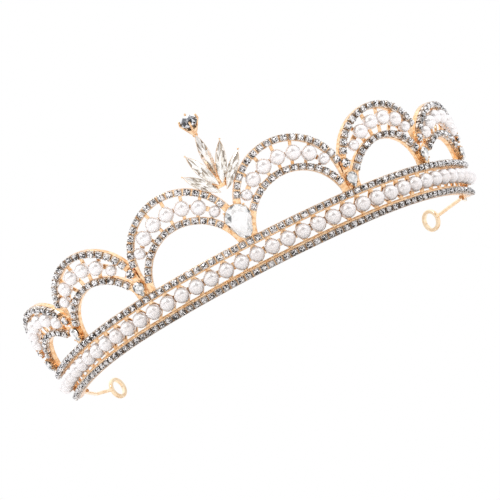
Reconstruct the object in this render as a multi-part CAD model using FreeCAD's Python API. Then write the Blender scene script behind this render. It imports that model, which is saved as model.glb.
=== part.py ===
import FreeCAD, Part
import math
import os

# A pearl and rhinestone bridal crown (tiara).  A cast gold band, open to the rear, carries a
# row of pearls between two rows of claw-set rhinestones.  Six openwork arches stand on it,
# with a large drop crystal and a fan of slender crystals at the centre and a wire loop at
# each end for a ribbon or hair grip.
#
# Working frame, in millimetres: the pearl row lies in the plane z = 0 with its front centre at
# the origin, +X is the wearer's left as seen from the front, -Y is the front.  A place on the
# flared band is (s, h, off): s runs along the pearl row from the centre, h runs up the flared
# wall, off is outward from the pearls' centres.

V = FreeCAD.Vector
ORIGIN = V(0, 0, 0)
UP = V(0, 0, 1)
SIDES = {"left": -1, "right": 1}

# ---- band ----------------------------------------------------------------------------------
FLARE = math.radians(13.9)          # outward lean of the whole wall
FRONT_RADIUS = 107.0                # plan radius across the two large arches
SIDE_RADIUS = 57.4                  # plan radius along each medium arch
END_RADIUS = 70.0                   # plan radius along each small arch
LARGE_END = 35.4                    # where the large arch meets the medium one, along the row
MEDIUM_END = 66.6                   # where the medium arch meets the small one
BAND_END = 102.3                    # half length of the band
SEGMENTS = [(0.0, LARGE_END, FRONT_RADIUS),
            (LARGE_END, MEDIUM_END, SIDE_RADIUS),
            (MEDIUM_END, BAND_END, END_RADIUS)]

FRAME_BACK = -2.6                   # rear face of the castings
RAIL_FRONT = -1.1                   # front face of the rails, where the stone cups sit
WEB_FRONT = -2.0                    # front face of the thin web behind the pearls
LOWER_RAIL = (-5.85, -3.15)
UPPER_RAIL = (3.2, 5.6)
WEB_HALF = 1.15                     # half height of the strip right behind the pearls
RAIL_END = 1.4                      # solid upright that closes each end of the band
WINDOW_WIDE = 1.95                  # half widths of the windows between neighbouring pearls
WINDOW_NARROW = 0.75
WINDOW_MARGIN = 0.3                 # strip left between a window and its rail

PEARL_RADIUS = 2.5
PEARL_PITCH = 5.3
PEARLS_PER_SIDE = 19
PEARL_FLAT = 0.8                    # deepest a pearl's glued flat may lie, as a share of its radius

UPPER_ROW = 4.46                    # centre lines of the two rhinestone rows
LOWER_ROW = -4.74
STONE_PITCH = 2.65
ROW_STONES_PER_SIDE = 38

# ---- small rhinestone in its square claw cup --------------------------------------------------
CUP_LENGTH = 2.3
CUP_WIDTH = 2.1
CUP_FLOOR = 1.1
CLAW = 0.42
CLAW_TOP = 1.75
STONE_RADIUS = 0.93
STONE_BACK_RADIUS = 0.5
STONE_TABLE_RADIUS = 0.55
STONE_GIRDLE = 1.45
STONE_TOP = 1.95

# ---- larger set stones ---------------------------------------------------------------------------
SET_BACK_SCALE = 0.72               # outline of a stone's back, girdle and table, against its setting's
SET_GIRDLE_SCALE = 0.97
SET_TABLE_SCALE = 0.62
SET_GIRDLE_SHARE = 0.45             # height of the girdle as a share of the stone's height
SET_GIRDLE_EDGE = 0.12              # height of the girdle's own edge
PIN_RADIUS = 0.28                   # round claws, their rise over the girdle and their stand-off
PIN_RISE = 0.35
PIN_OUT = 0.05

# ---- arches ------------------------------------------------------------------------------------
# Each arch is drawn in the flat plane that touches the wall at its own centre.  A ring is
# (height of its centre, radius); an angle is measured from the outboard side, in degrees.
# A foot is (first x, last x, top) of a plain block and a pad is (x, y, radius) of a round one.
RING_HALF = 1.12                    # half width of an arch rail
ARCH_WEB_HALF = 0.75                # half width of the strip behind the arch pearls
STRUT_HALF = 0.5
ARCH_FOOT = 5.6                     # the arches stand on top of the upper rail
STRUT_REACH = 7.0                   # half length of a strut before the rails trim it
SEAM = 0.12                         # hairline kept free between neighbouring castings
DRAWING = (-6.0, 2.0)               # depth of an arch's flat drawing, before the wall trims it
ARCHES = {
    "large": {
        "centre": 18.25, "span": (SEAM, LARGE_END - SEAM),
        "outer": (11.55, 17.5), "inner": (2.9, 16.3), "pearls": (7.25, 16.6),
        "outer_row": (13.0, 156.0), "inner_row": (22.5, 141.5),
        "pearl_row": (37.5, 142.5), "pearl_radii": (1.95, 2.5, 2.5, 2.5, 2.5, 2.45, 1.9),
        "feet": ((14.8, 21.0, 9.4), (-21.0, -15.4, 12.0)), "pads": (),
    },
    "medium": {
        "centre": 52.2, "span": (LARGE_END + SEAM, MEDIUM_END - SEAM),
        "outer": (12.1, 15.7), "inner": (3.5, 14.4), "pearls": (9.6, 13.5),
        "outer_row": (25.0, 162.0), "inner_row": (31.0, 149.0),
        "pearl_row": (39.0, 144.0), "pearl_radii": (1.9, 2.4, 2.4, 2.4, 2.4, 1.85),
        "feet": ((12.9, 20.0, 9.6), (-20.0, -12.6, 10.6)), "pads": (),
    },
    "small": {
        "centre": 82.2, "span": (MEDIUM_END + SEAM, BAND_END - 0.4),
        "outer": (8.6, 15.5), "inner": (-1.5, 15.9), "pearls": (5.1, 14.9),
        "outer_row": (32.0, 147.0), "inner_row": (50.0, 131.0),
        "pearl_row": (44.0, 138.0), "pearl_radii": (2.15, 2.4, 2.4, 2.4, 2.4, 2.15),
        "feet": ((13.6, 18.4, 9.0), (-20.0, -11.4, 10.9)),
        "pads": ((16.0, 9.0, 2.4), (15.7, 13.3, 2.0)),
    },
}

# ---- drop-shaped and round stones where the arches meet ------------------------------------------
ROUND_RADIUS = 1.45
DROP_TOP_RADIUS = 1.95
DROP_TIP_RADIUS = 0.4
DROP_LENGTH = 2.85                  # between the centres of its two rounded ends
DROP_MIDDLE = (0, -0.8)             # the point its facets lean towards
DROP_CLAWS = [(-1.4, 1.45), (1.4, 1.45), (-1.25, -1.9), (1.25, -1.9)]
JUNCTION_FLOOR = 0.8
ROUND_HEIGHT = 1.1                  # heights of the two kinds of stone over their floors
DROP_HEIGHT = 1.3
JUNCTIONS = [(37.1, 13.75, 8.85), (67.5, 13.9, 9.0), (98.2, 13.6, 9.0)]   # s, round h, drop h

# ---- centre ornament ------------------------------------------------------------------------------
CENTRE_TOP_RADIUS = 4.4
CENTRE_TIP_RADIUS = 2.5
CENTRE_TOP_HEIGHT = 12.7
CENTRE_LENGTH = 4.7
CENTRE_MIDDLE = (0, -1.6)
CENTRE_CLAWS = [(-3.4, 2.9), (3.4, 2.9), (-4.0, -2.2), (4.0, -2.2)]
CENTRE_FLOOR = 0.9
CENTRE_HEIGHT = 3.0
FAN_BACK = -0.9                     # rear of the fan's stone settings
FAN_FLOOR = 0.7                     # thickness of a setting's floor
FAN_HEIGHT = 1.5                    # height of a fan stone over that floor
# name: (lower point x, h), (upper point x, h), width, extra distance out from the wall
MARQUISES = {
    "outer_left": ((-1.0, 21.8), (-9.5, 31.2), 3.3, 0.0),
    "outer_right": ((1.0, 21.8), (9.5, 31.2), 3.3, 0.0),
    "inner_left": ((-0.45, 23.8), (-5.9, 36.4), 3.5, 0.0),
    "inner_right": ((0.45, 23.8), (5.9, 36.4), 3.5, 0.0),
    "centre": ((0.0, 26.5), (0.0, 41.4), 3.3, -1.85),
}
BRACKET_THICKNESS = 0.9
BRIDGE = (7.2, 23.1, 25.4)          # half width, lower and upper edge of the bar behind the fan
MAST = (0.9, 34.0)                  # half width and top of its upright
POST = (1.4, 23.1, 24.5)            # half width, lower and upper edge of the stub that carries the settings
CREST_HEIGHT = 41.6                 # where the crest cup stands, up the wall
CREST_TILT = math.radians(32.0)     # leans towards the front from the wall's own line
CREST_STEM_RADIUS = 0.85
CREST_CUP = (2.0, 2.5)              # radius and height of the cup's rim
CREST_STONE = (2.85, 4.6)           # radius and height of the stone's girdle
CREST_STONE_BACK = (0.45, 1.7)      # radius and height of its back
CREST_STONE_TOP = (1.65, 5.9)       # radius and height of its table
CREST_CLAW = ((0.8, 0.3), (2.95, 4.4), (2.78, 5.75))   # radius and height along each claw
CREST_CLAW_RADIUS = 0.34

# ---- end tabs and loops ------------------------------------------------------------------------------
TAB_THICKNESS = 0.8
TAB_SPAN = (96.6, 102.0)
TAB_HEIGHTS = {"left": (-5.7, -3.4), "right": (-7.0, -3.4)}   # only the right one shows below the rail
TAB_HOLE_RADIUS = 0.45
TAB_HOLE_IN = 0.9                   # hole's centre, in from the tab's end and up from its lower edge
TAB_HOLE_UP = 0.65
WIRE_RADIUS = 0.6
RING_OUTER = 3.8
RING_INNER = 2.6
RING_EDGE = 0.35                    # rounding of the ring's edges
WIRE_GAP = 0.02                     # film of solder between tab and wire
LOOP_LEVEL = -4.7                   # height of the wire's centre line
WIRE_START = 97.2
WIRE_LIFT = 100.4                   # the wire leaves the tab here
WIRE_BEND = 4.0                      # radius of the wire's bends
# plan route (distance from the middle, distance back) of each hand-bent wire, ending at its ring
LOOP_ROUTES = {
    "right": ((58.5, 66.9),),
    "left": ((68.3, 66.6), (61.6, 76.3)),
}


# ---- the flared wall ------------------------------------------------------------------------------------
def heading_at(s):
    """Direction of the pearl row at s, as an angle from +X."""
    angle = 0.0
    for start, end, radius in SEGMENTS:
        angle += max(0.0, min(s, end) - start) / radius
    return angle


def row_point(s):
    """Plan position of the pearl row at s."""
    x = 0.0
    y = 0.0
    for start, end, radius in SEGMENTS:
        if s <= start:
            break
        a0 = heading_at(start)
        a1 = heading_at(min(s, end))
        x += radius * (math.sin(a1) - math.sin(a0))
        y += radius * (math.cos(a0) - math.cos(a1))
    return V(x, y, 0)


def axes_at(s):
    """Tangent, up-the-wall and outward directions at s."""
    angle = heading_at(s)
    tangent = V(math.cos(angle), math.sin(angle), 0)
    level = V(math.sin(angle), -math.cos(angle), 0)
    up = UP * math.cos(FLARE) + level * math.sin(FLARE)
    outward = level * math.cos(FLARE) - UP * math.sin(FLARE)
    return tangent, up, outward


def wall_point(s, h, off):
    tangent, up, outward = axes_at(s)
    return row_point(s) + up * h + outward * off


def place(s, h, off, spin=0.0):
    """Placement whose X runs along the row, Y up the wall and Z outward, turned by spin degrees."""
    tangent, up, outward = axes_at(s)
    frame = FreeCAD.Rotation(tangent, up, outward, "ZYX")
    return FreeCAD.Placement(wall_point(s, h, off), frame.multiply(FreeCAD.Rotation(V(0, 0, 1), spin)))


def segment_radius(s):
    for start, end, radius in SEGMENTS:
        if s <= end:
            return radius
    return SEGMENTS[-1][2]


def arch_to_wall(centre, x, y, off):
    """Turn a point of an arch's flat drawing into (s, h) on the wall."""
    radius = segment_radius(centre)
    h = y
    for _ in range(8):
        rho = radius + h * math.sin(FLARE) + off * math.cos(FLARE)
        phi = math.asin(x / rho)
        h = y + rho * (1 - math.cos(phi)) * math.sin(FLARE)
    return centre + radius * phi, h


def wall(span, heights, offs):
    """Solid piece of the flared wall on the +X side, between two values of s, h and off."""
    pieces = []
    for start, end, radius in SEGMENTS:
        s0 = max(span[0], start)
        s1 = min(span[1], end)
        if s1 - s0 < 1e-6:
            continue
        corners = [wall_point(s0, heights[0], offs[0]), wall_point(s0, heights[1], offs[0]),
                   wall_point(s0, heights[1], offs[1]), wall_point(s0, heights[0], offs[1])]
        face = Part.Face(Part.makePolygon(corners + corners[:1]))
        angle = heading_at(s0)
        hub = row_point(s0) + V(-math.sin(angle), math.cos(angle), 0) * radius
        pieces.append(face.revolve(hub, UP, math.degrees((s1 - s0) / radius)))
    return join(pieces)


def join(pieces):
    if len(pieces) == 1:
        return pieces[0]
    return pieces[0].multiFuse(pieces[1:]).removeSplitter()


def mirrored(shape):
    return shape.mirror(ORIGIN, V(1, 0, 0))


def mirror_point(point, sign):
    return V(point.x * sign, point.y, point.z)


def both_sides(shapes):
    return shapes + [mirrored(shape) for shape in shapes]


def one_side(shapes, side):
    return shapes if SIDES[side] > 0 else [mirrored(shape) for shape in shapes]


def placed(shape, placement):
    copy = shape.copy()
    copy.Placement = placement.multiply(copy.Placement)
    return copy


# ---- stones, cups and pearls, each drawn at the origin with +Z outward --------------------------------------
def box(x0, x1, y0, y1, z0, z1):
    return Part.makeBox(x1 - x0, y1 - y0, z1 - z0, V(x0, y0, z0))


def square_cup():
    """Claw cup of one small rhinestone: a square floor with a claw at each corner."""
    cup = [box(-CUP_LENGTH / 2, CUP_LENGTH / 2, -CUP_WIDTH / 2, CUP_WIDTH / 2, 0, CUP_FLOOR)]
    for sx in (-1, 1):
        for sy in (-1, 1):
            x = sx * (CUP_LENGTH - CLAW) / 2
            y = sy * (CUP_WIDTH - CLAW) / 2
            cup.append(box(x - CLAW / 2, x + CLAW / 2, y - CLAW / 2, y + CLAW / 2, 0, CLAW_TOP))
    return join(cup)


def cone_stone(back_radius, radius, table_radius, back, girdle, top):
    """Round stone: a cone narrowing to its back and another narrowing to its table."""
    back_cone = Part.makeCone(back_radius, radius, girdle - back, V(0, 0, back))
    crown = Part.makeCone(radius, table_radius, top - girdle, V(0, 0, girdle))
    return back_cone.fuse(crown)


def small_stone():
    return cone_stone(STONE_BACK_RADIUS, STONE_RADIUS, STONE_TABLE_RADIUS, CUP_FLOOR, STONE_GIRDLE, STONE_TOP)


def pearl(radius):
    """Pearl with the small flat that is glued to the web behind it."""
    ball = Part.makeSphere(radius)
    depth = min(-WEB_FRONT, radius * PEARL_FLAT)
    return ball.common(box(-radius, radius, -radius, radius, -depth, radius)), depth


def drop_outline(top_radius, tip_radius, length, steps):
    """Corners of a drop: the wide end is centred on (0, 0), the narrow end lies below it."""
    lean = math.asin((top_radius - tip_radius) / length)
    corners = []
    for radius, level, first, last, count in ((top_radius, 0.0, -lean, math.pi + lean, steps),
                                              (tip_radius, -length, math.pi + lean, 2 * math.pi - lean, 3)):
        for i in range(count + 1):
            angle = first + (last - first) * i / count
            corners.append((radius * math.cos(angle), level + radius * math.sin(angle)))
    return corners


def marquise_outline(length, width, steps):
    """Corners of a pointed oval along Y, its lower point at (0, 0)."""
    half = length / 2
    radius = (half * half + width * width / 4) / width
    corners = []
    for side in (1, -1):
        for i in range(steps):
            y = side * (-half + length * i / steps)
            bulge = math.sqrt(radius * radius - y * y) - (radius - width / 2)
            corners.append((side * bulge, y + half))
    return corners


def round_outline(radius, steps):
    return [(radius * math.cos(2 * math.pi * i / steps), radius * math.sin(2 * math.pi * i / steps))
            for i in range(steps)]


def shrink(outline, scale, middle):
    return [(middle[0] + (x - middle[0]) * scale, middle[1] + (y - middle[1]) * scale) for x, y in outline]


def faceted(outline, middle, levels):
    """Stone built of flat faces; levels are (scale of the outline, height)."""
    loops = [[V(x, y, z) for x, y in shrink(outline, scale, middle)] for scale, z in levels]
    faces = []
    for lower, upper in zip(loops, loops[1:]):
        for i in range(len(outline)):
            j = (i + 1) % len(outline)
            faces.append(Part.Face(Part.makePolygon([lower[i], lower[j], upper[j], upper[i], lower[i]])))
    for loop in (loops[0], loops[-1]):
        faces.append(Part.Face(Part.makePolygon(loop + loop[:1])))
    solid = Part.Solid(Part.Shell(faces))
    if solid.Volume < 0:
        solid.reverse()
    return solid


def plate(outline, z0, z1):
    face = Part.Face(Part.makePolygon([V(x, y, z0) for x, y in outline + outline[:1]]))
    return face.extrude(V(0, 0, z1 - z0))


def set_stone(outline, middle, floor, height, claws, rim=1.08):
    """A faceted stone and its setting: a floor slightly larger than the stone, with claws."""
    girdle = floor + SET_GIRDLE_SHARE * height
    levels = [(SET_BACK_SCALE, floor), (SET_GIRDLE_SCALE, girdle - SET_GIRDLE_EDGE),
              (SET_GIRDLE_SCALE, girdle), (SET_TABLE_SCALE, floor + height)]
    stone = faceted(outline, middle, levels)
    pieces = [plate(shrink(outline, rim, middle), 0, floor)]
    for x, y in claws:
        away = V(x - middle[0], y - middle[1], 0).normalize()
        pieces.append(Part.makeCylinder(PIN_RADIUS, girdle + PIN_RISE, V(x, y, 0) + away * PIN_OUT, UP))
    setting = join(pieces).cut(stone)
    return stone, setting


# ---- band -----------------------------------------------------------------------------------------------
def band_frame():
    rails = wall((0, BAND_END), (LOWER_RAIL[0], UPPER_RAIL[1]), (FRAME_BACK, RAIL_FRONT))
    groove = wall((0, BAND_END - RAIL_END), (LOWER_RAIL[1], UPPER_RAIL[0]), (WEB_FRONT, RAIL_FRONT + 1))
    rails = rails.cut(groove)
    edges = ((UPPER_RAIL[0] - WINDOW_MARGIN, WEB_HALF), (LOWER_RAIL[1] + WINDOW_MARGIN, -WEB_HALF))
    windows = []
    for i in range(PEARLS_PER_SIDE):
        spot = place((i + 0.5) * PEARL_PITCH, 0, 0)
        for base, tip in edges:
            corners = [(-WINDOW_WIDE, base), (WINDOW_WIDE, base), (WINDOW_NARROW, tip), (-WINDOW_NARROW, tip)]
            windows.append(placed(plate(corners, FRAME_BACK - 1, RAIL_FRONT + 1), spot))
    half = rails.cut(Part.makeCompound(windows))
    return half.fuse(mirrored(half)).removeSplitter()


def band_pearls():
    ball, depth = pearl(PEARL_RADIUS)
    side = [placed(ball, place(i * PEARL_PITCH, 0, WEB_FRONT + depth)) for i in range(1, PEARLS_PER_SIDE + 1)]
    return [placed(ball, place(0, 0, WEB_FRONT + depth))] + both_sides(side)


def band_row(height, item):
    side = [placed(item, place(i * STONE_PITCH, height, RAIL_FRONT)) for i in range(1, ROW_STONES_PER_SIDE + 1)]
    return [placed(item, place(0, height, RAIL_FRONT))] + both_sides(side)


# ---- arches ---------------------------------------------------------------------------------------------
def drawn_disc(x, y, radius):
    return Part.makeCylinder(radius, DRAWING[1] - DRAWING[0], V(x, y, DRAWING[0]))


def drawn_box(x0, x1, y0, y1):
    return box(x0, x1, y0, y1, *DRAWING)


def ring(height, radius, half):
    return drawn_disc(0, height, radius + half).cut(drawn_disc(0, height, radius - half))


def ring_point(height, radius, degrees):
    angle = math.radians(degrees)
    return radius * math.cos(angle), height + radius * math.sin(angle)


def spaced(first, last, count):
    return [first + (last - first) * i / (count - 1) for i in range(count)]


def arch_frame(arch):
    """Openwork casting: two rails, a web under the pearls, one strut per pearl and two feet."""
    centre = arch["centre"]
    outer = ring(*arch["outer"], RING_HALF)
    inner = ring(*arch["inner"], RING_HALF)
    feet = [drawn_box(x0, x1, ARCH_FOOT - 1, top) for x0, x1, top in arch["feet"]]
    feet += [drawn_disc(*pad) for pad in arch["pads"]]
    reach = 2 * arch["outer"][1]
    disc = drawn_disc(0, arch["outer"][0], arch["outer"][1] + RING_HALF)
    bowl = drawn_disc(0, arch["inner"][0], arch["inner"][1] - RING_HALF)
    legs = drawn_box(-reach, reach, 0, arch["outer"][0])
    body = drawn_box(-reach, reach, 0, 2 * reach).common(join([disc, legs]))
    web = [ring(*arch["pearls"], ARCH_WEB_HALF)]
    for degrees in spaced(*arch["pearl_row"], len(arch["pearl_radii"])):
        x, y = ring_point(*arch["pearls"], degrees)
        strut = drawn_box(-STRUT_REACH, STRUT_REACH, -STRUT_HALF, STRUT_HALF)
        web.append(placed(strut, FreeCAD.Placement(V(x, y, 0), FreeCAD.Rotation(V(0, 0, 1), degrees))))
    sector = [ring_point(arch["pearls"][0], reach, degrees) for degrees in arch["pearl_row"]]
    sector = [(0, arch["pearls"][0]), sector[0], (0, arch["pearls"][0] + 2 * reach), sector[1]]
    web = join([web[0].common(plate(sector, *DRAWING))] + web[1:]).common(body).cut(bowl)
    heavy = join([outer, inner.common(body)] + feet)
    frame = place(centre, 0, 0)
    top = arch["outer"][0] + reach
    thick = wall(arch["span"], (ARCH_FOOT, top), (FRAME_BACK, RAIL_FRONT)).common(placed(heavy, frame))
    thin = wall(arch["span"], (ARCH_FOOT, top), (FRAME_BACK, WEB_FRONT)).common(placed(web, frame))
    return thick.fuse(thin).removeSplitter()


def arch_pearls(arch):
    pearls = []
    for degrees, radius in zip(spaced(*arch["pearl_row"], len(arch["pearl_radii"])), arch["pearl_radii"]):
        ball, depth = pearl(radius)
        x, y = ring_point(*arch["pearls"], degrees)
        s, h = arch_to_wall(arch["centre"], x, y, WEB_FRONT)
        pearls.append(placed(ball, place(s, h, WEB_FRONT + depth)))
    return pearls


def arch_rows(arch, item):
    """Place an item along both rows of an arch, each turned to follow its row."""
    items = []
    for ring_name, row_name in (("outer", "outer_row"), ("inner", "inner_row")):
        height, radius = arch[ring_name]
        first, last = arch[row_name]
        count = 1 + round(math.radians(last - first) * radius / STONE_PITCH)
        for degrees in spaced(first, last, count):
            x, y = ring_point(height, radius, degrees)
            s, h = arch_to_wall(arch["centre"], x, y, RAIL_FRONT)
            items.append(placed(item, place(s, h, RAIL_FRONT, degrees - 90)))
    return items


# ---- junction stones -----------------------------------------------------------------------------------
def junction_parts():
    """Round stone above a drop-shaped one on every junction: stones and settings of both kinds."""
    round_shape = round_outline(ROUND_RADIUS, 12)
    drop_shape = drop_outline(DROP_TOP_RADIUS, DROP_TIP_RADIUS, DROP_LENGTH, 9)
    round_claws = round_outline(ROUND_RADIUS, 4)
    kinds = {
        "round": (1, set_stone(round_shape, (0, 0), JUNCTION_FLOOR, ROUND_HEIGHT, round_claws, 1.1)),
        "drop": (2, set_stone(drop_shape, DROP_MIDDLE, JUNCTION_FLOOR, DROP_HEIGHT, DROP_CLAWS, 1.06)),
    }
    parts = {}
    for kind, (column, (stone, setting)) in kinds.items():
        spots = [place(junction[0], junction[column], RAIL_FRONT) for junction in JUNCTIONS]
        parts["junction_%s_stones" % kind] = both_sides([placed(stone, spot) for spot in spots])
        parts["junction_%s_settings" % kind] = both_sides([placed(setting, spot) for spot in spots])
    return parts


# ---- centre ornament ------------------------------------------------------------------------------------
def centre_drop():
    outline = drop_outline(CENTRE_TOP_RADIUS, CENTRE_TIP_RADIUS, CENTRE_LENGTH, 9)
    stone, setting = set_stone(outline, CENTRE_MIDDLE, CENTRE_FLOOR, CENTRE_HEIGHT, CENTRE_CLAWS, 1.0)
    spot = place(0, CENTRE_TOP_HEIGHT, RAIL_FRONT)
    return placed(stone, spot), placed(setting, spot)


def marquise(name):
    """One slender crystal of the fan with its boat-shaped setting."""
    low, high, width, extra = MARQUISES[name]
    length = math.hypot(high[0] - low[0], high[1] - low[1])
    lean = math.degrees(math.atan2(low[0] - high[0], high[1] - low[1]))
    outline = marquise_outline(length, width, 8)
    middle = (0, length / 2)
    tip_claw = [(0, length + 0.1)]
    low_claws = [(-0.38 * width, length * 0.25), (0.38 * width, length * 0.25)]
    claws = low_claws if name == "centre" else tip_claw
    stone, setting = set_stone(outline, middle, FAN_FLOOR, FAN_HEIGHT, claws, 1.0)
    spot = place(0, 0, FAN_BACK + extra)
    local = FreeCAD.Placement(V(low[0], low[1], 0), FreeCAD.Rotation(V(0, 0, 1), lean))
    spot = spot.multiply(local)
    return placed(stone, spot), placed(setting, spot)


def fan_bracket():
    """Bridge behind the fan, from the rail of one large arch to the other, with a mast."""
    depth = (FRAME_BACK - BRACKET_THICKNESS, FRAME_BACK)
    half = wall((0, BRIDGE[0]), (BRIDGE[1], BRIDGE[2]), depth)
    mast = wall((0, MAST[0]), (BRIDGE[1], MAST[1]), depth)
    half = half.fuse(mast)
    bracket = half.fuse(mirrored(half)).removeSplitter()
    post = placed(box(-POST[0], POST[0], POST[1], POST[2], FRAME_BACK - BRACKET_THICKNESS / 2, FAN_BACK),
                  place(0, 0, 0))
    return bracket.fuse(post).removeSplitter()


def crest_placement():
    tangent, up, outward = axes_at(0)
    axis = up * math.cos(CREST_TILT) + outward * math.sin(CREST_TILT)
    frame = FreeCAD.Rotation(tangent, axis.cross(tangent), axis, "ZXY")
    foot = wall_point(0, CREST_HEIGHT, FAN_BACK + MARQUISES["centre"][3] + FAN_FLOOR)
    return FreeCAD.Placement(foot, frame)


def crest_claw(turn):
    """One claw: it follows the stone up from the cup and curls over the girdle."""
    out = V(math.cos(turn), math.sin(turn), 0)
    points = [out * radius + UP * height for radius, height in CREST_CLAW]
    pieces = [Part.makeSphere(CREST_CLAW_RADIUS, point) for point in points]
    for start, end in zip(points, points[1:]):
        pieces.append(Part.makeCylinder(CREST_CLAW_RADIUS, (end - start).Length, start, end - start))
    return pieces


def crest():
    """Round crystal held point-down by four claws that rise from a small cup."""
    sizes = (CREST_STONE_BACK, CREST_STONE, CREST_STONE_TOP)
    levels = [(radius / CREST_STONE[0], height) for radius, height in sizes]
    stone = faceted(round_outline(CREST_STONE[0], 12), (0, 0), levels)
    pieces = [Part.makeCylinder(CREST_STEM_RADIUS, 1.0, V(0, 0, -0.9)),
              Part.makeCone(CREST_STEM_RADIUS, CREST_CUP[0], CREST_CUP[1], ORIGIN)]
    for i in range(4):
        pieces += crest_claw(math.pi / 2 * i)
    spot = crest_placement()
    return placed(stone, spot), placed(join(pieces).cut(stone), spot)


# ---- ends -----------------------------------------------------------------------------------------------
def end_tab(side):
    """Small plate soldered behind the lower rail at the band's end, pierced where it shows below the rail."""
    low, high = TAB_HEIGHTS[side]
    slab = wall(TAB_SPAN, (low, high), (FRAME_BACK - TAB_THICKNESS, FRAME_BACK))
    if low > LOWER_RAIL[0]:
        return slab
    hole = Part.makeCylinder(TAB_HOLE_RADIUS, 3 * TAB_THICKNESS)
    spot = place(TAB_SPAN[1] - TAB_HOLE_IN, low + TAB_HOLE_UP, FRAME_BACK - 2 * TAB_THICKNESS)
    return slab.cut(placed(hole, spot))


def bent_wire(points, bend, radius):
    """Round wire along straight runs joined by tangent arcs, with square ends."""
    edges = []
    start = points[0]
    for before, corner, after in zip(points, points[1:], points[2:]):
        inward = (corner - before).normalize()
        outward = (after - corner).normalize()
        half_turn = inward.getAngle(outward) / 2
        first = corner - inward * bend * math.tan(half_turn)
        last = corner + outward * bend * math.tan(half_turn)
        middle = corner + (outward - inward).normalize() * bend * (1 / math.cos(half_turn) - 1)
        edges += [Part.LineSegment(start, first).toShape(), Part.Arc(first, middle, last).toShape()]
        start = last
    edges.append(Part.LineSegment(start, points[-1]).toShape())
    section = Part.Wire(Part.makeCircle(radius, points[0], points[1] - points[0]))
    return Part.Wire(edges).makePipeShell([section], True, False)


def loop_route(side):
    """Corners of a wire's centre line, the last one at the middle of its ring."""
    depth = FRAME_BACK - TAB_THICKNESS - WIRE_RADIUS - WIRE_GAP
    corners = [wall_point(s, LOOP_LEVEL, depth) for s in (WIRE_START, WIRE_LIFT)]
    corners = [(corner.x, corner.y) for corner in corners]
    return [V(x, y, LOOP_LEVEL) for x, y in corners + list(LOOP_ROUTES[side])]


def ring_axis(side):
    route = loop_route(side)
    return (route[-1] - route[-2]).cross(UP).normalize()


def end_loop(side):
    """Round wire that leaves the tab and closes into a flat-walled ring standing upright."""
    route = loop_route(side)
    centre = route[-1]
    axis = ring_axis(side)
    route[-1] = centre - (centre - route[-2]).normalize() * (RING_INNER + RING_OUTER) / 2
    wire = bent_wire(route, WIRE_BEND, WIRE_RADIUS)
    hoop = Part.makeCylinder(RING_OUTER, 2 * WIRE_RADIUS, centre - axis * WIRE_RADIUS, axis)
    hoop = hoop.makeFillet(RING_EDGE, [edge for edge in hoop.Edges if edge.Closed])
    bore = Part.makeCylinder(RING_INNER, 4 * WIRE_RADIUS, centre - axis * 2 * WIRE_RADIUS, axis)
    return join([hoop, wire]).cut(bore)


# ---- assembly -------------------------------------------------------------------------------------------
def build():
    parts = {"band_frame": [band_frame()], "band_pearls": band_pearls()}
    cup = square_cup()
    stone = small_stone()
    for name, height in (("upper", UPPER_ROW), ("lower", LOWER_ROW)):
        parts["band_%s_cups" % name] = band_row(height, cup)
        parts["band_%s_rhinestones" % name] = band_row(height, stone)
    for size, arch in ARCHES.items():
        sets = {"arch_frame": [arch_frame(arch)], "arch_pearls": arch_pearls(arch),
                "arch_cups": arch_rows(arch, cup), "arch_rhinestones": arch_rows(arch, stone)}
        for kind, shapes in sets.items():
            for side in SIDES:
                parts["%s_%s_%s" % (kind, size, side)] = one_side(shapes, side)
    parts.update(junction_parts())
    crystal, setting = centre_drop()
    parts["centre_crystal"] = [crystal]
    parts["centre_setting"] = [setting]
    fan = []
    for name in MARQUISES:
        crystal, setting = marquise(name)
        parts["marquise_crystal_" + name] = [crystal]
        parts["marquise_setting_" + name] = [setting]
        fan += [crystal, setting]
    parts["fan_bracket"] = [fan_bracket().cut(fan)]
    crystal, cup = crest()
    parts["crest_crystal"] = [crystal]
    parts["crest_cup"] = [cup.cut(fan)]
    for side in SIDES:
        parts["end_tab_" + side] = one_side([end_tab(side)], side)
        parts["end_loop_" + side] = one_side([end_loop(side)], side)
    return parts


def seat(parts):
    """Tip the crown so that its front edge and its rings share one table, and centre it."""
    front = wall_point(0, LOWER_ROW - CUP_WIDTH / 2, RAIL_FRONT + CLAW_TOP)
    back = sum(route[-1][1] for route in LOOP_ROUTES.values()) / len(LOOP_ROUTES)
    tip = math.atan2(front.z - (LOOP_LEVEL - RING_OUTER), back - front.y)
    turn = FreeCAD.Placement(ORIGIN, FreeCAD.Rotation(V(1, 0, 0), math.degrees(tip)))
    for shapes in parts.values():
        for shape in shapes:
            shape.Placement = turn.multiply(shape.Placement)
    whole = Part.makeCompound([shape for shapes in parts.values() for shape in shapes])
    bounds = whole.optimalBoundingBox(False, False)
    middle = V((bounds.XMin + bounds.XMax) / 2, (bounds.YMin + bounds.YMax) / 2, bounds.ZMin)
    shift = FreeCAD.Placement(-middle, FreeCAD.Rotation())
    for shapes in parts.values():
        for shape in shapes:
            shape.Placement = shift.multiply(shape.Placement)
    seated = shift.multiply(turn)
    print("tip %.4f deg, shift %s" % (math.degrees(tip), shift.Base))
    for side, sign in SIDES.items():
        centre = seated.multVec(mirror_point(loop_route(side)[-1], sign))
        axis = seated.Rotation.multVec(mirror_point(ring_axis(side), sign))
        print("ring %s centre %s axis %s" % (side, centre, axis))
    print("size %.2f x %.2f x %.2f mm" % (bounds.XLength, bounds.YLength, bounds.ZLength))


def main():
    os.makedirs("parts", exist_ok=True)
    parts = build()
    seat(parts)
    for name, shapes in parts.items():
        solids = [solid for shape in shapes for solid in shape.Solids]
        Part.makeCompound(solids).exportStep("parts/%s.step" % name)
        volume = sum(solid.Volume for solid in solids)
        print("%-32s %3d solids %9.2f mm3 valid %s" % (name, len(solids), volume,
                                                       all(solid.isValid() for solid in solids)))


main()
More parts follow.
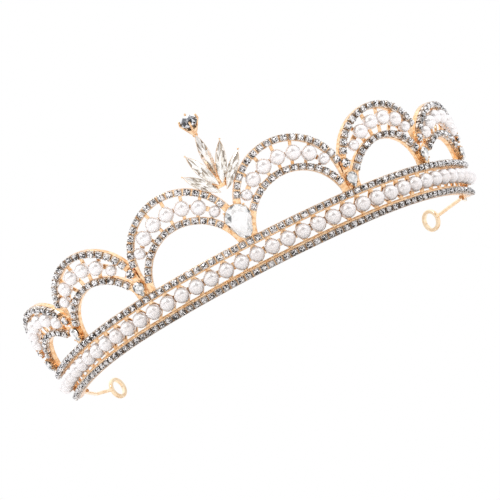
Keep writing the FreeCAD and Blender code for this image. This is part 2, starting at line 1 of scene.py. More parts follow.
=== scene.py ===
import math

import bpy
import numpy as np
from mathutils import Matrix, Vector


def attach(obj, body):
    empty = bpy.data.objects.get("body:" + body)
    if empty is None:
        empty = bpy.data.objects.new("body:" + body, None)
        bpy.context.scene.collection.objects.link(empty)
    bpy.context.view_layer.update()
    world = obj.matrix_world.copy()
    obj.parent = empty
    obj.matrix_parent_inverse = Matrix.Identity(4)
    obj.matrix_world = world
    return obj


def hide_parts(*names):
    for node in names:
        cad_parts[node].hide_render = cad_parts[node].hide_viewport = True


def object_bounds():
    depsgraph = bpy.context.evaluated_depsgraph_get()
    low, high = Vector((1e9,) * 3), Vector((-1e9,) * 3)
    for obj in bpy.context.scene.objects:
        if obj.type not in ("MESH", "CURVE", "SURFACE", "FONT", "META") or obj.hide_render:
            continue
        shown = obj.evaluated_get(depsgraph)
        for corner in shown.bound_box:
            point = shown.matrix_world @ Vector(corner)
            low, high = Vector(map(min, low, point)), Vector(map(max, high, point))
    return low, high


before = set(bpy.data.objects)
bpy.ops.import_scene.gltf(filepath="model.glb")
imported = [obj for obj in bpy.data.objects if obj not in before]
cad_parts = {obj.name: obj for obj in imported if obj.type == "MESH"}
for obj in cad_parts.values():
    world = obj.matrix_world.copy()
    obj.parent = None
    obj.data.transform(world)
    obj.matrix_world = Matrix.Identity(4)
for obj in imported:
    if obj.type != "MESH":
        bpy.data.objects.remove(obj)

FIRST_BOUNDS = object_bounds()
RNG = np.random.default_rng(11)
MM = 0.001                            # lengths are millimetres unless a comment says metres

# ---- names shared by the CAD nodes and the pieces ------------------------------------------------
SIZES = ("large", "medium", "small")
SIDES = ("left", "right")
FAN_PLACES = ("outer_left", "outer_right", "inner_left", "inner_right", "centre")

# ---- sizes of the small stones and their cups ----------------------------------------------------
SMALL_RADIUS = 1.02
SMALL_BACK, SMALL_GIRDLE, SMALL_TOP = 1.1, 1.4, 1.93
SMALL_SCALES = (0.54, 0.8, 0.55)      # table, star points and back, as shares of the outline
SMALL_MOST_TILT = 9                   # degrees
SMALL_SHARES = (0.4, 0.42)            # shares of facets with painted dark and painted bright reflections
SMALL_CONTRAST = 0.3                  # painted reflection sweep from dark to bright across one stone
CUP_HALF = (1.13, 1.03)
CUP_CORNER = 0.28
CUP_CORNER_STEPS = 3
CUP_LEVELS = [(1.0, 0.0), (1.0, 0.12), (0.95, 0.2), (0.95, 0.62), (1.0, 0.7), (1.0, 0.98),
              (0.96, 1.08), (0.84, 1.1)]             # share of the outline and height, from the back
SEAT_RADIUS, SEAT_HEIGHT = 0.72, 0.98
CLAW_PATH = [(0.98, 0.88, 0.05), (0.98, 0.88, 1.15), (0.9, 0.8, 1.45), (0.72, 0.64, 1.62)]
CLAW_RADII = (0.15, 0.16, 0.17, 0.13)
CLAW_SIDES = 6

# ---- sizes of the larger stones ------------------------------------------------------------------
ROUND_CORNERS = 16                    # corners of a round stone's outline
ROUND_RADIUS = 1.41
GLASS_FIT = 0.97                      # drop stones are this much smaller than the CAD outline
JUNCTION_DROP = (1.95, 0.4, 2.85)     # CAD outline: top radius, tip radius, distance between the two
CENTRE_DROP = (4.4, 2.5, 4.7)
DROP_TOP_STEPS, DROP_TIP_STEPS = 9, 3
FAN_STEPS = 8
GIRDLE_SHARE = 0.45                   # height of the girdle, as a share of the stone's height
CREST_GIRDLE_SHARE = 0.7
ROUND_SCALES = (0.55, 0.8, 0.72)      # table, star points and back, as shares of the outline
DROP_SCALES = (0.6, 0.82, 0.72)
FAN_SCALES = (0.4, 0.72, 0.72)
CREST_SCALES = (0.58, 0.82, 0.2)

# ---- how every faceted stone is cut --------------------------------------------------------------
STAR_HEIGHT = 0.52                    # height of the star points between girdle and table
GIRDLE_INSET = 0.985                  # girdle as a share of the outline
GIRDLE_BAND = 0.06                    # thickness of the girdle, as a share of its height over the back
FACES_PER_TABLE_CORNER = 10           # a stone has this many faces per corner of its table, and a back

# ---- pearls --------------------------------------------------------------------------------------
PEARL_RINGS, PEARL_SIDES = 20, 32
PEARL_FIT = 0.998                     # a pearl is this much smaller than the CAD ball

# ---- stage, in metres ----------------------------------------------------------------------------
FLOOR_HALF = 1.2
FLOOR_GAP = 0.0002
LIGHTS = (("key", (-0.25, -0.55, 0.55), 0.16, 1.1),          # name, place, diameter and power
          ("fill", (0.6, -0.4, 0.4), 0.2, 0.35),
          ("low_front", (-0.12, -0.5, 0.06), 0.06, 0.06))
LIGHTS_AIM = (0, 0, 0.02)
BELOW_TO_ABOVE = [(0.0, (0.66, 0.65, 0.65)), (0.36, (0.70, 0.69, 0.69)), (0.45, (0.62, 0.61, 0.61)),
                  (0.54, (0.72, 0.72, 0.73)), (0.64, (1.0, 1.0, 1.02)), (1.0, (1.25, 1.25, 1.27))]
FRONT_TO_BACK = [(0.0, (0.08, 0.065, 0.055)), (0.08, (0.2, 0.17, 0.155)), (0.2, (0.85, 0.83, 0.82)),
                 (0.3, (1.06, 1.06, 1.08))]
VIEW_AZIMUTH, VIEW_ELEVATION, VIEW_ROLL = -1.074, -10.605, 27.572           # degrees
CROWN_TIP = 2.2016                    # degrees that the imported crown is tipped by
VIEW_TARGET = (0.0, -0.0318558, 0.0059318)
VIEW_DISTANCE = 0.64955
LENS, SENSOR = 152.95, 36.0           # millimetres
SHIFT_X, SHIFT_Y = -0.01398, 0.00838
CLIP_START, CLIP_END = 0.01, 50.0


# ---- reading places from the CAD nodes -----------------------------------------------------------
HEAD_MIDDLE = np.array([0.0, 22.0, 0.0])
OUTWARD_DROP = 0.25                   # how much the direction away from the head leans down
MERGE_DIGITS = 4                      # vertices equal to this many digits are one
FLAT_DIGITS = 2                       # normals equal to this many digits are one flat


def islands(name):
    """Vertices (millimetres) of every separate solid in a CAD node, with the normal of its largest flat."""
    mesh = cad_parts[name].data
    points = np.zeros(len(mesh.vertices) * 3)
    mesh.vertices.foreach_get("co", points)
    points = points.reshape(-1, 3) / MM
    _, first, merged = np.unique(np.round(points, MERGE_DIGITS), axis=0,
                                 return_index=True, return_inverse=True)
    merged = merged.reshape(-1)
    parent = list(range(len(first)))

    def root(i):
        while parent[i] != i:
            parent[i] = parent[parent[i]]
            i = parent[i]
        return i

    for polygon in mesh.polygons:
        ids = [root(merged[v]) for v in polygon.vertices]
        for other in ids[1:]:
            parent[root(other)] = root(ids[0])
    groups = {}
    for i, vertex in enumerate(first):
        groups.setdefault(root(i), []).append(points[vertex])
    flats = {}
    for polygon in mesh.polygons:
        island = flats.setdefault(root(merged[polygon.vertices[0]]), {})
        key = tuple(round(c, FLAT_DIGITS) for c in polygon.normal)
        island[key] = island.get(key, np.zeros(3)) + np.array(polygon.normal) * polygon.area
    found = []
    for key, group in groups.items():
        largest = max(flats[key].values(), key=np.linalg.norm)
        found.append((np.array(group), largest / np.linalg.norm(largest)))
    return found


def spot_of(island):
    """4x4 placement on a solid's flat back: x is its longer way, y the shorter, z away from the head."""
    points, flat = island
    middle = points.mean(axis=0)
    away = middle - HEAD_MIDDLE
    away[2] = -OUTWARD_DROP * np.linalg.norm(away[:2])
    z = flat if flat @ away > 0 else -flat
    plane = points - middle - np.outer((points - middle) @ z, z)
    _, _, axes = np.linalg.svd(plane, full_matrices=False)
    x = axes[0] - z * (axes[0] @ z)
    x = x / np.linalg.norm(x)
    y = np.cross(z, x)
    local = (points - middle) @ np.array([x, y, z]).T
    centre = (local.min(axis=0) + local.max(axis=0)) / 2
    centre[2] = local[:, 2].min()
    placement = np.eye(4)
    placement[:3, 0] = x
    placement[:3, 1] = y
    placement[:3, 2] = z
    placement[:3, 3] = middle + centre @ np.array([x, y, z])
    return placement


def upright(placement):
    """Turn a placement so that its y is its longer way and points up."""
    x, z = placement[:3, 0].copy(), placement[:3, 2].copy()
    if x[2] < 0:
        x = -x
    placement[:3, 1] = x
    placement[:3, 0] = np.cross(x, z)
    return placement


def seen_from(spot, points):
    """Points in the axes of a placement."""
    return (points - spot[:3, 3]) @ spot[:3, :3]


# ---- building meshes -----------------------------------------------------------------------------
class Shape:
    """Vertices and faces in millimetres, with one tone value and one smooth flag per face."""

    def __init__(self):
        self.vertices = []
        self.faces = []
        self.tones = []
        self.smooth = []

    def join(self, points, faces, tones, smooth):
        start = len(self.vertices)
        self.vertices += [tuple(p) for p in points]
        self.faces += [tuple(start + i for i in face) for face in faces]
        self.tones += list(tones)
        self.smooth += smooth

    def add(self, points, faces, smooth=False):
        self.join(points, faces, [0.5] * len(faces), [smooth] * len(faces))

    def put(self, other, placement, tones=None):
        points = np.array(other.vertices) @ placement[:3, :3].T + placement[:3, 3]
        self.join(points, other.faces, other.tones if tones is None else tones, other.smooth)

    def face_centres(self):
        points = np.array(self.vertices)
        return np.array([points[list(face)].mean(axis=0) for face in self.faces])


def make_piece(name, shape, material, nodes):
    mesh = bpy.data.meshes.new(name)
    mesh.from_pydata([tuple(c * MM for c in v) for v in shape.vertices], [], shape.faces)
    tone = mesh.attributes.new("tone", "FLOAT", "FACE")
    tone.data.foreach_set("value", np.array(shape.tones, np.float32))
    mesh.polygons.foreach_set("use_smooth", shape.smooth)
    mesh.materials.append(material)
    mesh.update()
    piece = bpy.data.objects.new(name, mesh)
    bpy.context.scene.collection.objects.link(piece)
    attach(piece, "root")
    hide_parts(*nodes)


def gem(outline, back, girdle, top, scales):
    """Faceted stone on an outline of 2n corners: table, star, kite and girdle facets over a cone."""
    table_scale, star_scale, back_scale = scales
    corners = [np.array(p, float) for p in outline]
    n = len(corners) // 2

    def at(i, scale, z):
        flat = corners[i % (2 * n)] * scale
        return (flat[0], flat[1], z)

    star_level = girdle + STAR_HEIGHT * (top - girdle)
    low_level = girdle - GIRDLE_BAND * (girdle - back)
    points = [at(2 * i, table_scale, top) for i in range(n)]
    points += [at(2 * i + 1, star_scale, star_level) for i in range(n)]
    points += [at(i, GIRDLE_INSET, girdle) for i in range(2 * n)]
    points += [at(i, GIRDLE_INSET, low_level) for i in range(2 * n)]
    points += [at(i, back_scale, back) for i in range(2 * n)]
    points.append((0.0, 0.0, top))
    star, high, low, base, centre = n, 2 * n, 4 * n, 6 * n, 8 * n
    faces = [(i, (i + 1) % n, centre) for i in range(n)]
    for i in range(n):
        j = (i + 1) % n
        first = high + 2 * i
        last = high + (2 * i + 2) % (2 * n)
        faces += [(i, star + i, j),
                  (i, first, star + i),
                  (star + i, last, j),
                  (star + i, first, first + 1),
                  (star + i, first + 1, last)]
    for i in range(2 * n):
        j = (i + 1) % (2 * n)
        faces += [(high + i, low + i, low + j, high + j), (low + i, base + i, base + j, low + j)]
    faces.append(tuple(reversed(range(base, centre))))
    shape = Shape()
    shape.add(points, faces)
    return shape


def ring_faces(rings, sides):
    """Quads that join each ring of points to the next."""
    faces = []
    for i in range(rings - 1):
        for k in range(sides):
            j = (k + 1) % sides
            faces.append((i * sides + k, i * sides + j, (i + 1) * sides + j, (i + 1) * sides + k))
    return faces


def tube(shape, path, radii, sides):
    """Round bar through the points of path."""
    path = [np.array(p, float) for p in path]
    points = []
    for i, point in enumerate(path):
        before = path[max(0, i - 1)]
        after = path[min(len(path) - 1, i + 1)]
        along = (after - before) / np.linalg.norm(after - before)
        side = np.cross(along, (0.0, 0.3, 1.0) if abs(along[2]) < 0.9 else (1.0, 0.2, 0.0))
        side = side / np.linalg.norm(side)
        other = np.cross(along, side)
        points += [point + radii[i] * (side * math.cos(q) + other * math.sin(q))
                   for q in (2 * math.pi * k / sides for k in range(sides))]
    faces = ring_faces(len(path), sides)
    faces.append(tuple(reversed(range(sides))))
    faces.append(tuple((len(path) - 1) * sides + k for k in range(sides)))
    shape.add(points, faces, smooth=True)


def claw_cup():
    """Square claw cup with rolled edges, a round seat and four claws bent over the stone."""
    shape = Shape()
    rings = [rounded_square(CUP_HALF[0] * k, CUP_HALF[1] * k, CUP_CORNER * k) for k, _ in CUP_LEVELS]
    count = len(rings[0])
    points = [(x, y, z) for ring, (_, z) in zip(rings, CUP_LEVELS) for x, y in ring]
    points += [(x, y, SEAT_HEIGHT) for x, y in circle(SEAT_RADIUS, count)]
    faces = [tuple(reversed(range(count)))]
    faces += ring_faces(len(CUP_LEVELS) + 1, count)
    faces.append(tuple(len(CUP_LEVELS) * count + k for k in range(count)))
    shape.add(points, faces)
    for sx in (-1, 1):
        for sy in (-1, 1):
            path = [(sx * x, sy * y, z) for x, y, z in CLAW_PATH]
            tube(shape, path, CLAW_RADII, CLAW_SIDES)
    return shape


def sphere(radius, flat):
    """Pearl of the given radius whose back is ground flat at z = -flat."""
    last = math.acos(-flat / radius)
    around = [2 * math.pi * k / PEARL_SIDES for k in range(PEARL_SIDES)]
    points = [(0.0, 0.0, radius)]
    for i in range(1, PEARL_RINGS + 1):
        q = last * i / PEARL_RINGS
        points += [(radius * math.sin(q) * math.cos(a), radius * math.sin(q) * math.sin(a),
                    radius * math.cos(q)) for a in around]
    faces = [(0, 1 + k, 1 + (k + 1) % PEARL_SIDES) for k in range(PEARL_SIDES)]
    faces += [tuple(1 + v for v in reversed(face)) for face in ring_faces(PEARL_RINGS, PEARL_SIDES)]
    back = 1 + (PEARL_RINGS - 1) * PEARL_SIDES
    faces.append(tuple(reversed(range(back, back + PEARL_SIDES))))
    shape = Shape()
    shape.add(points, faces, smooth=True)
    shape.smooth[-1] = False
    return shape


# ---- outlines ------------------------------------------------------------------------------------
def circle(radius, count):
    angles = [2 * math.pi * i / count for i in range(count)]
    return [(radius * math.cos(q), radius * math.sin(q)) for q in angles]


def rounded_square(half_x, half_y, corner):
    points = []
    for quarter in range(4):
        sx = 1 if quarter in (0, 3) else -1
        sy = 1 if quarter < 2 else -1
        for k in range(CUP_CORNER_STEPS + 1):
            q = math.pi / 2 * (quarter + k / CUP_CORNER_STEPS)
            points.append((sx * (half_x - corner) + corner * math.cos(q),
                           sy * (half_y - corner) + corner * math.sin(q)))
    return points


def drop_outline(sizes):
    """Drop with a large round top and a small round tip, a little inside the CAD outline."""
    top_radius, tip_radius, length = (size * GLASS_FIT for size in sizes)
    lean = math.asin((top_radius - tip_radius) / length)
    top = (top_radius, 0.0, -lean, math.pi + lean, DROP_TOP_STEPS)
    tip = (tip_radius, -length, math.pi + lean, 2 * math.pi - lean, DROP_TIP_STEPS)
    corners = []
    for radius, level, first, last, count in (top, tip):
        for i in range(count + 1):
            angle = first + (last - first) * i / count
            corners.append((radius * math.cos(angle), level + radius * math.sin(angle)))
    return corners


def marquise_outline(length, width):
    """Two arcs that meet in a point at each end."""
    half = length / 2
    radius = (half * half + width * width / 4) / width
    corners = []
    for side in (1, -1):
        for i in range(FAN_STEPS):
            y = side * (-half + length * i / FAN_STEPS)
            bulge = math.sqrt(radius * radius - y * y) - (radius - width / 2)
            corners.append((side * bulge, y))
    return corners


def centred(outline):
    points = np.array(outline)
    return (points - (points.min(axis=0) + points.max(axis=0)) / 2).tolist()


# ---- materials -----------------------------------------------------------------------------------
def new_material(name):
    material = bpy.data.materials.new(name)
    material.use_nodes = True
    nodes = material.node_tree.nodes
    return material, nodes, material.node_tree.links, nodes["Principled BSDF"]


def set_inputs(node, **values):
    """Set constants on a node's own sockets: an underscore in a name stands for a space."""
    for name, value in values.items():
        node.inputs[name.replace("_", " ")].default_value = value


def ramp(nodes, stops):
    node = nodes.new("ShaderNodeValToRGB")
    elements = node.color_ramp.elements
    while len(elements) > 1:
        elements.remove(elements[-1])
    elements[0].position = stops[0][0]
    elements[0].color = (*stops[0][1], 1)
    for position, colour in stops[1:]:
        elements.new(position).color = (*colour, 1)
    return node


def texture(nodes, links, place, kind, **values):
    """Noise or cells over the piece's own coordinates."""
    node = nodes.new(kind)
    set_inputs(node, **values)
    links.new(place.outputs["Object"], node.inputs["Vector"])
    return node


def spread(nodes, links, value, low, high):
    """Stretch a value from 0..1 to low..high."""
    node = nodes.new("ShaderNodeMapRange")
    set_inputs(node, To_Min=low, To_Max=high)
    links.new(value, node.inputs["Value"])
    return node.outputs["Result"]


def roughen(nodes, links, shader, height, strength, distance):
    """Bump on the shader from a texture's height; returns the bump node."""
    bump = nodes.new("ShaderNodeBump")
    set_inputs(bump, Strength=strength, Distance=distance)
    links.new(height.outputs["Fac"], bump.inputs["Height"])
    links.new(bump.outputs["Normal"], shader.inputs["Normal"])
    return bump


def metal(name, light, dark, roughness, bevel, grain=1100.0, strength=0.5, patches=620.0):
    """Plated metal: slightly uneven plate colour and fine casting grain, softened edges if bevel."""
    material, nodes, links, shader = new_material(name)
    set_inputs(shader, Metallic=1.0)
    place = nodes.new("ShaderNodeTexCoord")
    noise = texture(nodes, links, place, "ShaderNodeTexNoise", Scale=patches, Detail=3.0)
    tint = ramp(nodes, [(0.36, dark), (0.6, light)])
    links.new(noise.outputs["Fac"], tint.inputs["Fac"])
    links.new(tint.outputs["Color"], shader.inputs["Base Color"])
    rough = spread(nodes, links, noise.outputs["Fac"], roughness * 0.75, roughness * 1.35)
    links.new(rough, shader.inputs["Roughness"])
    fine = texture(nodes, links, place, "ShaderNodeTexNoise", Scale=grain, Detail=2.0)
    bump = roughen(nodes, links, shader, fine, strength, 0.0003)
    if bevel:
        edge = nodes.new("ShaderNodeBevel")
        edge.samples = 4
        set_inputs(edge, Radius=bevel)
        links.new(edge.outputs["Normal"], bump.inputs["Normal"])
    return material


def crystal(name, stops, metallic=0.55, roughness=0.05, cells=1500.0):
    """Opaque stand-in for foil-backed cut glass: each facet's tone and small cells pick its colour, as
    painted reflection and painted sparkle.
    """
    material, nodes, links, shader = new_material(name)
    set_inputs(shader, Metallic=metallic, Roughness=roughness, Coat_Weight=1.0, Coat_Roughness=0.02)
    tone = nodes.new("ShaderNodeAttribute")
    tone.attribute_name = "tone"
    place = nodes.new("ShaderNodeTexCoord")
    # painted sparkle: small cells push each facet's tone lighter or darker
    painted_sparkle = texture(nodes, links, place, "ShaderNodeTexVoronoi", Scale=cells)
    total = nodes.new("ShaderNodeMath")
    total.operation = "ADD"
    links.new(tone.outputs["Fac"], total.inputs[0])
    links.new(spread(nodes, links, painted_sparkle.outputs["Color"], -0.16, 0.16), total.inputs[1])
    colours = ramp(nodes, stops)
    links.new(total.outputs["Value"], colours.inputs["Fac"])
    links.new(colours.outputs["Color"], shader.inputs["Base Color"])
    return material


def nacre(name, stops):
    """Coated, partly metallic stand-in for pearl: a faintly clouded tint on a nearly even surface."""
    material, nodes, links, shader = new_material(name)
    set_inputs(shader, Metallic=0.46, Roughness=0.32, Coat_Weight=1.0, Coat_Roughness=0.07)
    place = nodes.new("ShaderNodeTexCoord")
    cloud = texture(nodes, links, place, "ShaderNodeTexNoise", Scale=260.0, Detail=2.0)
    tint = ramp(nodes, stops)
    links.new(cloud.outputs["Fac"], tint.inputs["Fac"])
    links.new(tint.outputs["Color"], shader.inputs["Base Color"])
    fine = texture(nodes, links, place, "ShaderNodeTexNoise", Scale=300.0, Detail=0.0)
    roughen(nodes, links, shader, fine, 0.015, 0.0001)
    return material


GOLD = metal("gold_plate", (1.0, 0.73, 0.46), (0.78, 0.43, 0.19), 0.18, 0.00022, patches=900.0)
WIRE = metal("gold_wire", (0.98, 0.80, 0.56), (0.88, 0.64, 0.40), 0.16, None, 600.0, 0.15)
CUP = metal("bright_cup", (0.94, 0.89, 0.82), (0.30, 0.20, 0.13), 0.14, None, 1500.0, 0.2, 1300.0)
PEARL = nacre("pearl_nacre", [(0.3, (0.97, 0.92, 0.89)), (0.55, (0.99, 0.96, 0.94)),
                              (0.75, (1.0, 0.98, 0.97))])
# The crystal ramps paint reflections: low tones give dark facets, high tones bright glinting ones.
RHINESTONE = crystal("rhinestone_glass", [(0.0, (0.008, 0.008, 0.008)), (0.34, (0.04, 0.033, 0.028)),
                                          (0.42, (0.55, 0.51, 0.47)), (0.5, (1.0, 0.99, 0.98))], 0.3)
CENTRE = crystal("centre_glass", [(0.0, (0.03, 0.035, 0.035)), (0.3, (0.34, 0.35, 0.34)),
                                  (0.55, (0.82, 0.83, 0.81)), (0.8, (1.0, 1.0, 0.98))], 0.3, 0.04)
FAN = crystal("fan_glass", [(0.0, (0.24, 0.19, 0.14)), (0.3, (0.56, 0.48, 0.38)),
                            (0.55, (0.88, 0.83, 0.73)), (0.8, (1.0, 0.98, 0.93))], 0.35, 0.05, 700.0)
CREST = crystal("crest_glass", [(0.0, (0.01, 0.011, 0.014)), (0.45, (0.09, 0.10, 0.11)),
                                (0.58, (0.5, 0.51, 0.53)), (0.76, (0.97, 0.97, 0.98))], 0.5, 0.04)


def plate_castings():
    """Gold on every CAD node, and the brighter wire gold on the end loops and end tabs."""
    for name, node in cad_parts.items():
        node.data.materials.clear()
        node.data.materials.append(WIRE if name.startswith("end_") else GOLD)


# ---- facet tones as painted reflections and hand setting -----------------------------------------
def painted_reflection_tones(shape, dark_share, bright_share, table=0.0):
    """One painted reflection tone per facet: some dark, some bright, the rest between, the table's painted
    highlight no darker than table.
    """
    count = len(shape.faces)
    corners = (count - 1) // FACES_PER_TABLE_CORNER
    tones = RNG.uniform(0.35, 0.65, count)
    pick = RNG.random(count)
    dark = pick < dark_share
    tones[dark] = RNG.uniform(0.0, 0.3, int(dark.sum()))
    bright = pick > 1 - bright_share
    tones[bright] = RNG.uniform(0.72, 1.0, int(bright.sum()))
    # painted highlight on the table facets
    tones[:corners] = np.maximum(tones[:corners], table + RNG.uniform(-0.1, 0.1, corners))
    return tones


def painted_sweep_tones(shape, shares, contrast):
    """Painted reflection tones per facet that also run from dark to bright across the stone, in a direction
    of its own.
    """
    centres = shape.face_centres()[:, :2]
    angle = RNG.uniform(0, 2 * math.pi)
    across = centres @ np.array([math.cos(angle), math.sin(angle)])
    return painted_reflection_tones(shape, *shares) + contrast * across / np.abs(across).max()


def set_by_hand(spot):
    """Spin a small stone at random and tilt it a little inside its cup, as hand setting leaves it."""
    centre = Matrix.Translation((0, 0, SMALL_GIRDLE))
    spin = Matrix.Rotation(RNG.uniform(0, 2 * math.pi), 4, "Z")
    tilt = Matrix.Rotation(math.radians(RNG.uniform(0, SMALL_MOST_TILT)), 4, "X")
    around = Matrix.Rotation(RNG.uniform(0, 2 * math.pi), 4, "Z")
    return spot @ np.array(centre @ around @ tilt @ spin @ centre.inverted())


# ---- stones, cups and pearls in the place of their CAD nodes -------------------------------------
SMALL_STONE = gem(circle(SMALL_RADIUS, ROUND_CORNERS), SMALL_BACK, SMALL_GIRDLE, SMALL_TOP, SMALL_SCALES)
CUP_SHAPE = claw_cup()


def dress_row(suffix, cups_node, stones_node):
    """A claw cup and a small stone on each cup of a row."""
    cups = Shape()
    stones = Shape()
    for island in islands(cups_node):
        spot = spot_of(island)
        cups.put(CUP_SHAPE, spot)
        placement = set_by_hand(spot)
        # painted reflections: facet tones with a dark-to-bright sweep across the stone
        stones.put(SMALL_STONE, placement, painted_sweep_tones(SMALL_STONE, SMALL_SHARES, SMALL_CONTRAST))
    make_piece("claw_cups_" + suffix, cups, CUP, [cups_node])
    make_piece("rhinestones_" + suffix, stones, RHINESTONE, [stones_node])


def dress_pearls(suffix, node):
    """A pearl on each ball of a node, with the size and the glued flat that the ball has."""
    shape = Shape()
    for island in islands(node):
        spot = spot_of(island)
        local = seen_from(spot, island[0])
        radius = (local[:, 0].max() - local[:, 0].min()) / 2
        depth = local[:, 2].max() - radius
        spot[:3, 3] += spot[:3, 2] * depth
        shape.put(sphere(radius * PEARL_FIT, depth), spot)
    make_piece("pearls_" + suffix, shape, PEARL, [node])


def dress_stones(name, node, outline, scales, material, dark, bright, table=0.0):
    """A cut stone on each solid of a node, with the outline given and the solid's height."""
    shape = Shape()
    for island in islands(node):
        spot = upright(spot_of(island))
        high = float(seen_from(spot, island[0])[:, 2].max())
        stone = gem(centred(outline), 0.0, high * GIRDLE_SHARE, high, scales)
        # painted reflections: dark and bright are shares of dark and bright facets, table the least tone of
        # the table's painted highlight
        shape.put(stone, spot, painted_reflection_tones(stone, dark, bright, table))
    make_piece(name, shape, material, [node])


def dress_rows_and_pearls():
    for row in ("upper", "lower"):
        dress_row("band_" + row, "band_%s_cups" % row, "band_%s_rhinestones" % row)
    for size in SIZES:
        for side in SIDES:
            tag = "%s_%s" % (size, side)
            dress_row("arch_" + tag, "arch_cups_" + tag, "arch_rhinestones_" + tag)
            dress_pearls("arch_" + tag, "arch_pearls_" + tag)
    dress_pearls("band", "band_pearls")


def dress_junctions():
    dress_stones("junction_chatons", "junction_round_stones", circle(ROUND_RADIUS, ROUND_CORNERS),
                 ROUND_SCALES, RHINESTONE, 0.35, 0.4)
    dress_stones("junction_drops", "junction_drop_stones", drop_outline(JUNCTION_DROP),
                 DROP_SCALES, CENTRE, 0.3, 0.4, 0.45)


def dress_centre():
    dress_stones("centre_drop_crystal", "centre_crystal", drop_outline(CENTRE_DROP),
                 DROP_SCALES, CENTRE, 0.16, 0.5, 0.72)


def dress_fan():
    for place in FAN_PLACES:
        node = "marquise_crystal_" + place
        island = islands(node)[0]
        local = seen_from(upright(spot_of(island)), island[0])
        outline = marquise_outline(np.ptp(local[:, 1]), np.ptp(local[:, 0]))
        dress_stones("fan_crystal_" + place, node, outline, FAN_SCALES, FAN, 0.25, 0.45)


def dress_crest():
    island = islands("crest_crystal")[0]
    spot = spot_of(island)
    local = seen_from(spot, island[0])
    height = np.ptp(local[:, 2])
    radius = np.linalg.norm(local[:, :2], axis=1).max()
    outline = circle(radius, ROUND_CORNERS)
    stone = gem(outline, 0.0, height * CREST_GIRDLE_SHARE, height, CREST_SCALES)
    shape = Shape()
    # painted reflection tones on the crest stone's facets
    shape.put(stone, spot, painted_reflection_tones(stone, 0.42, 0.3))
    make_piece("crest_stone", shape, CREST, ["crest_crystal"])


# ---- floor, light and camera ---------------------------------------------------------------------
def make_floor():
    """Pale floor just under the crown, clear from below because the photo looks up past it."""
    mesh = bpy.data.meshes.new("floor")
    level = FIRST_BOUNDS[0].z - FLOOR_GAP
    corners = [(-FLOOR_HALF, -FLOOR_HALF, level), (FLOOR_HALF, -FLOOR_HALF, level),
               (FLOOR_HALF, FLOOR_HALF, level), (-FLOOR_HALF, FLOOR_HALF, level)]
    mesh.from_pydata(corners, [], [(0, 1, 2, 3)])
    floor = bpy.data.objects.new("floor", mesh)
    bpy.context.scene.collection.objects.link(floor)
    material, nodes, links, shader = new_material("pale_floor")
    set_inputs(shader, Base_Color=(0.93, 0.93, 0.93, 1), Roughness=0.8)
    clear = nodes.new("ShaderNodeBsdfTransparent")
    side = nodes.new("ShaderNodeNewGeometry")
    mix = nodes.new("ShaderNodeMixShader")
    links.new(side.outputs["Backfacing"], mix.inputs["Fac"])
    links.new(shader.outputs["BSDF"], mix.inputs[1])
    links.new(clear.outputs["BSDF"], mix.inputs[2])
    links.new(mix.outputs["Shader"], nodes["Material Output"].inputs["Surface"])
    mesh.materials.append(material)


def world_tone(nodes, links, along, stops):
    """Colour of the surroundings by how far a direction points along one axis."""
    scale = nodes.new("ShaderNodeMapRange")
    set_inputs(scale, From_Min=-1.0)
    links.new(along, scale.inputs["Value"])
    colours = ramp(nodes, stops)
    links.new(scale.outputs["Result"], colours.inputs["Fac"])
    return colours.outputs["Color"]


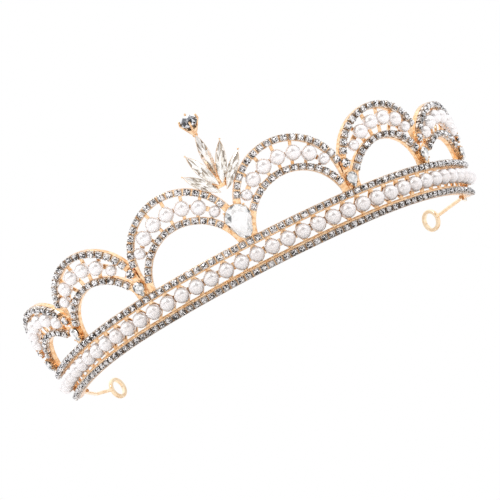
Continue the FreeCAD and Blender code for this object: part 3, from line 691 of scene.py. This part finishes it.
def make_world():
    """White straight behind the crown; grey surroundings with a dark front for it to reflect."""
    world = bpy.data.worlds.new("studio")
    bpy.context.scene.world = world
    world.use_nodes = True
    nodes, links = world.node_tree.nodes, world.node_tree.links
    plain = nodes["Background"]
    set_inputs(plain, Color=(1, 1, 1, 1), Strength=1.0)
    studio = nodes.new("ShaderNodeBackground")
    set_inputs(studio, Strength=1.0)
    place = nodes.new("ShaderNodeTexCoord")
    split = nodes.new("ShaderNodeSeparateXYZ")
    links.new(place.outputs["Generated"], split.inputs["Vector"])
    shaded = nodes.new("ShaderNodeMix")
    shaded.data_type = "RGBA"
    shaded.blend_type = "MULTIPLY"
    shaded.inputs["Factor"].default_value = 1.0
    links.new(world_tone(nodes, links, split.outputs["Z"], BELOW_TO_ABOVE), shaded.inputs["A"])
    links.new(world_tone(nodes, links, split.outputs["Y"], FRONT_TO_BACK), shaded.inputs["B"])
    links.new(shaded.outputs["Result"], studio.inputs["Color"])
    path = nodes.new("ShaderNodeLightPath")
    mix = nodes.new("ShaderNodeMixShader")
    links.new(path.outputs["Is Camera Ray"], mix.inputs["Fac"])
    links.new(studio.outputs["Background"], mix.inputs[1])
    links.new(plain.outputs["Background"], mix.inputs[2])
    links.new(mix.outputs["Shader"], nodes["World Output"].inputs["Surface"])


def add_light(name, place, size, power):
    data = bpy.data.lights.new(name, "AREA")
    data.shape = "DISK"
    data.size = size
    data.energy = power
    lamp = bpy.data.objects.new(name, data)
    bpy.context.scene.collection.objects.link(lamp)
    lamp.location = place
    lamp.rotation_mode = "QUATERNION"
    lamp.rotation_quaternion = (Vector(LIGHTS_AIM) - Vector(place)).to_track_quat("-Z", "Y")


def make_camera():
    """Long lens held just below the crown's front, rolled so that the crown climbs to the right."""
    azimuth, elevation = math.radians(VIEW_AZIMUTH), math.radians(VIEW_ELEVATION)
    roll = math.radians(VIEW_ROLL)
    back = Vector((math.sin(azimuth) * math.cos(elevation), -math.cos(azimuth) * math.cos(elevation),
                   math.sin(elevation)))
    right = Vector((math.cos(azimuth), math.sin(azimuth), 0))
    up = back.cross(right)
    across = right * math.cos(roll) - up * math.sin(roll)
    upward = right * math.sin(roll) + up * math.cos(roll)
    turn = Matrix.Rotation(math.radians(CROWN_TIP), 3, "X")
    across, upward, back = turn @ across, turn @ upward, turn @ back
    data = bpy.data.cameras.new("camera")
    data.lens = LENS
    data.sensor_width = SENSOR
    data.shift_x = SHIFT_X
    data.shift_y = SHIFT_Y
    data.clip_start = CLIP_START
    data.clip_end = CLIP_END
    camera = bpy.data.objects.new("camera", data)
    bpy.context.scene.collection.objects.link(camera)
    basis = Matrix((across, upward, back)).transposed().to_4x4()
    camera.matrix_world = Matrix.Translation(Vector(VIEW_TARGET) + back * VIEW_DISTANCE) @ basis
    bpy.context.scene.camera = camera


plate_castings()
dress_rows_and_pearls()
dress_junctions()
dress_centre()
dress_fan()
dress_crest()
make_floor()
make_world()
for light in LIGHTS:
    add_light(*light)
make_camera()
bpy.context.scene.view_settings.view_transform = "Standard"
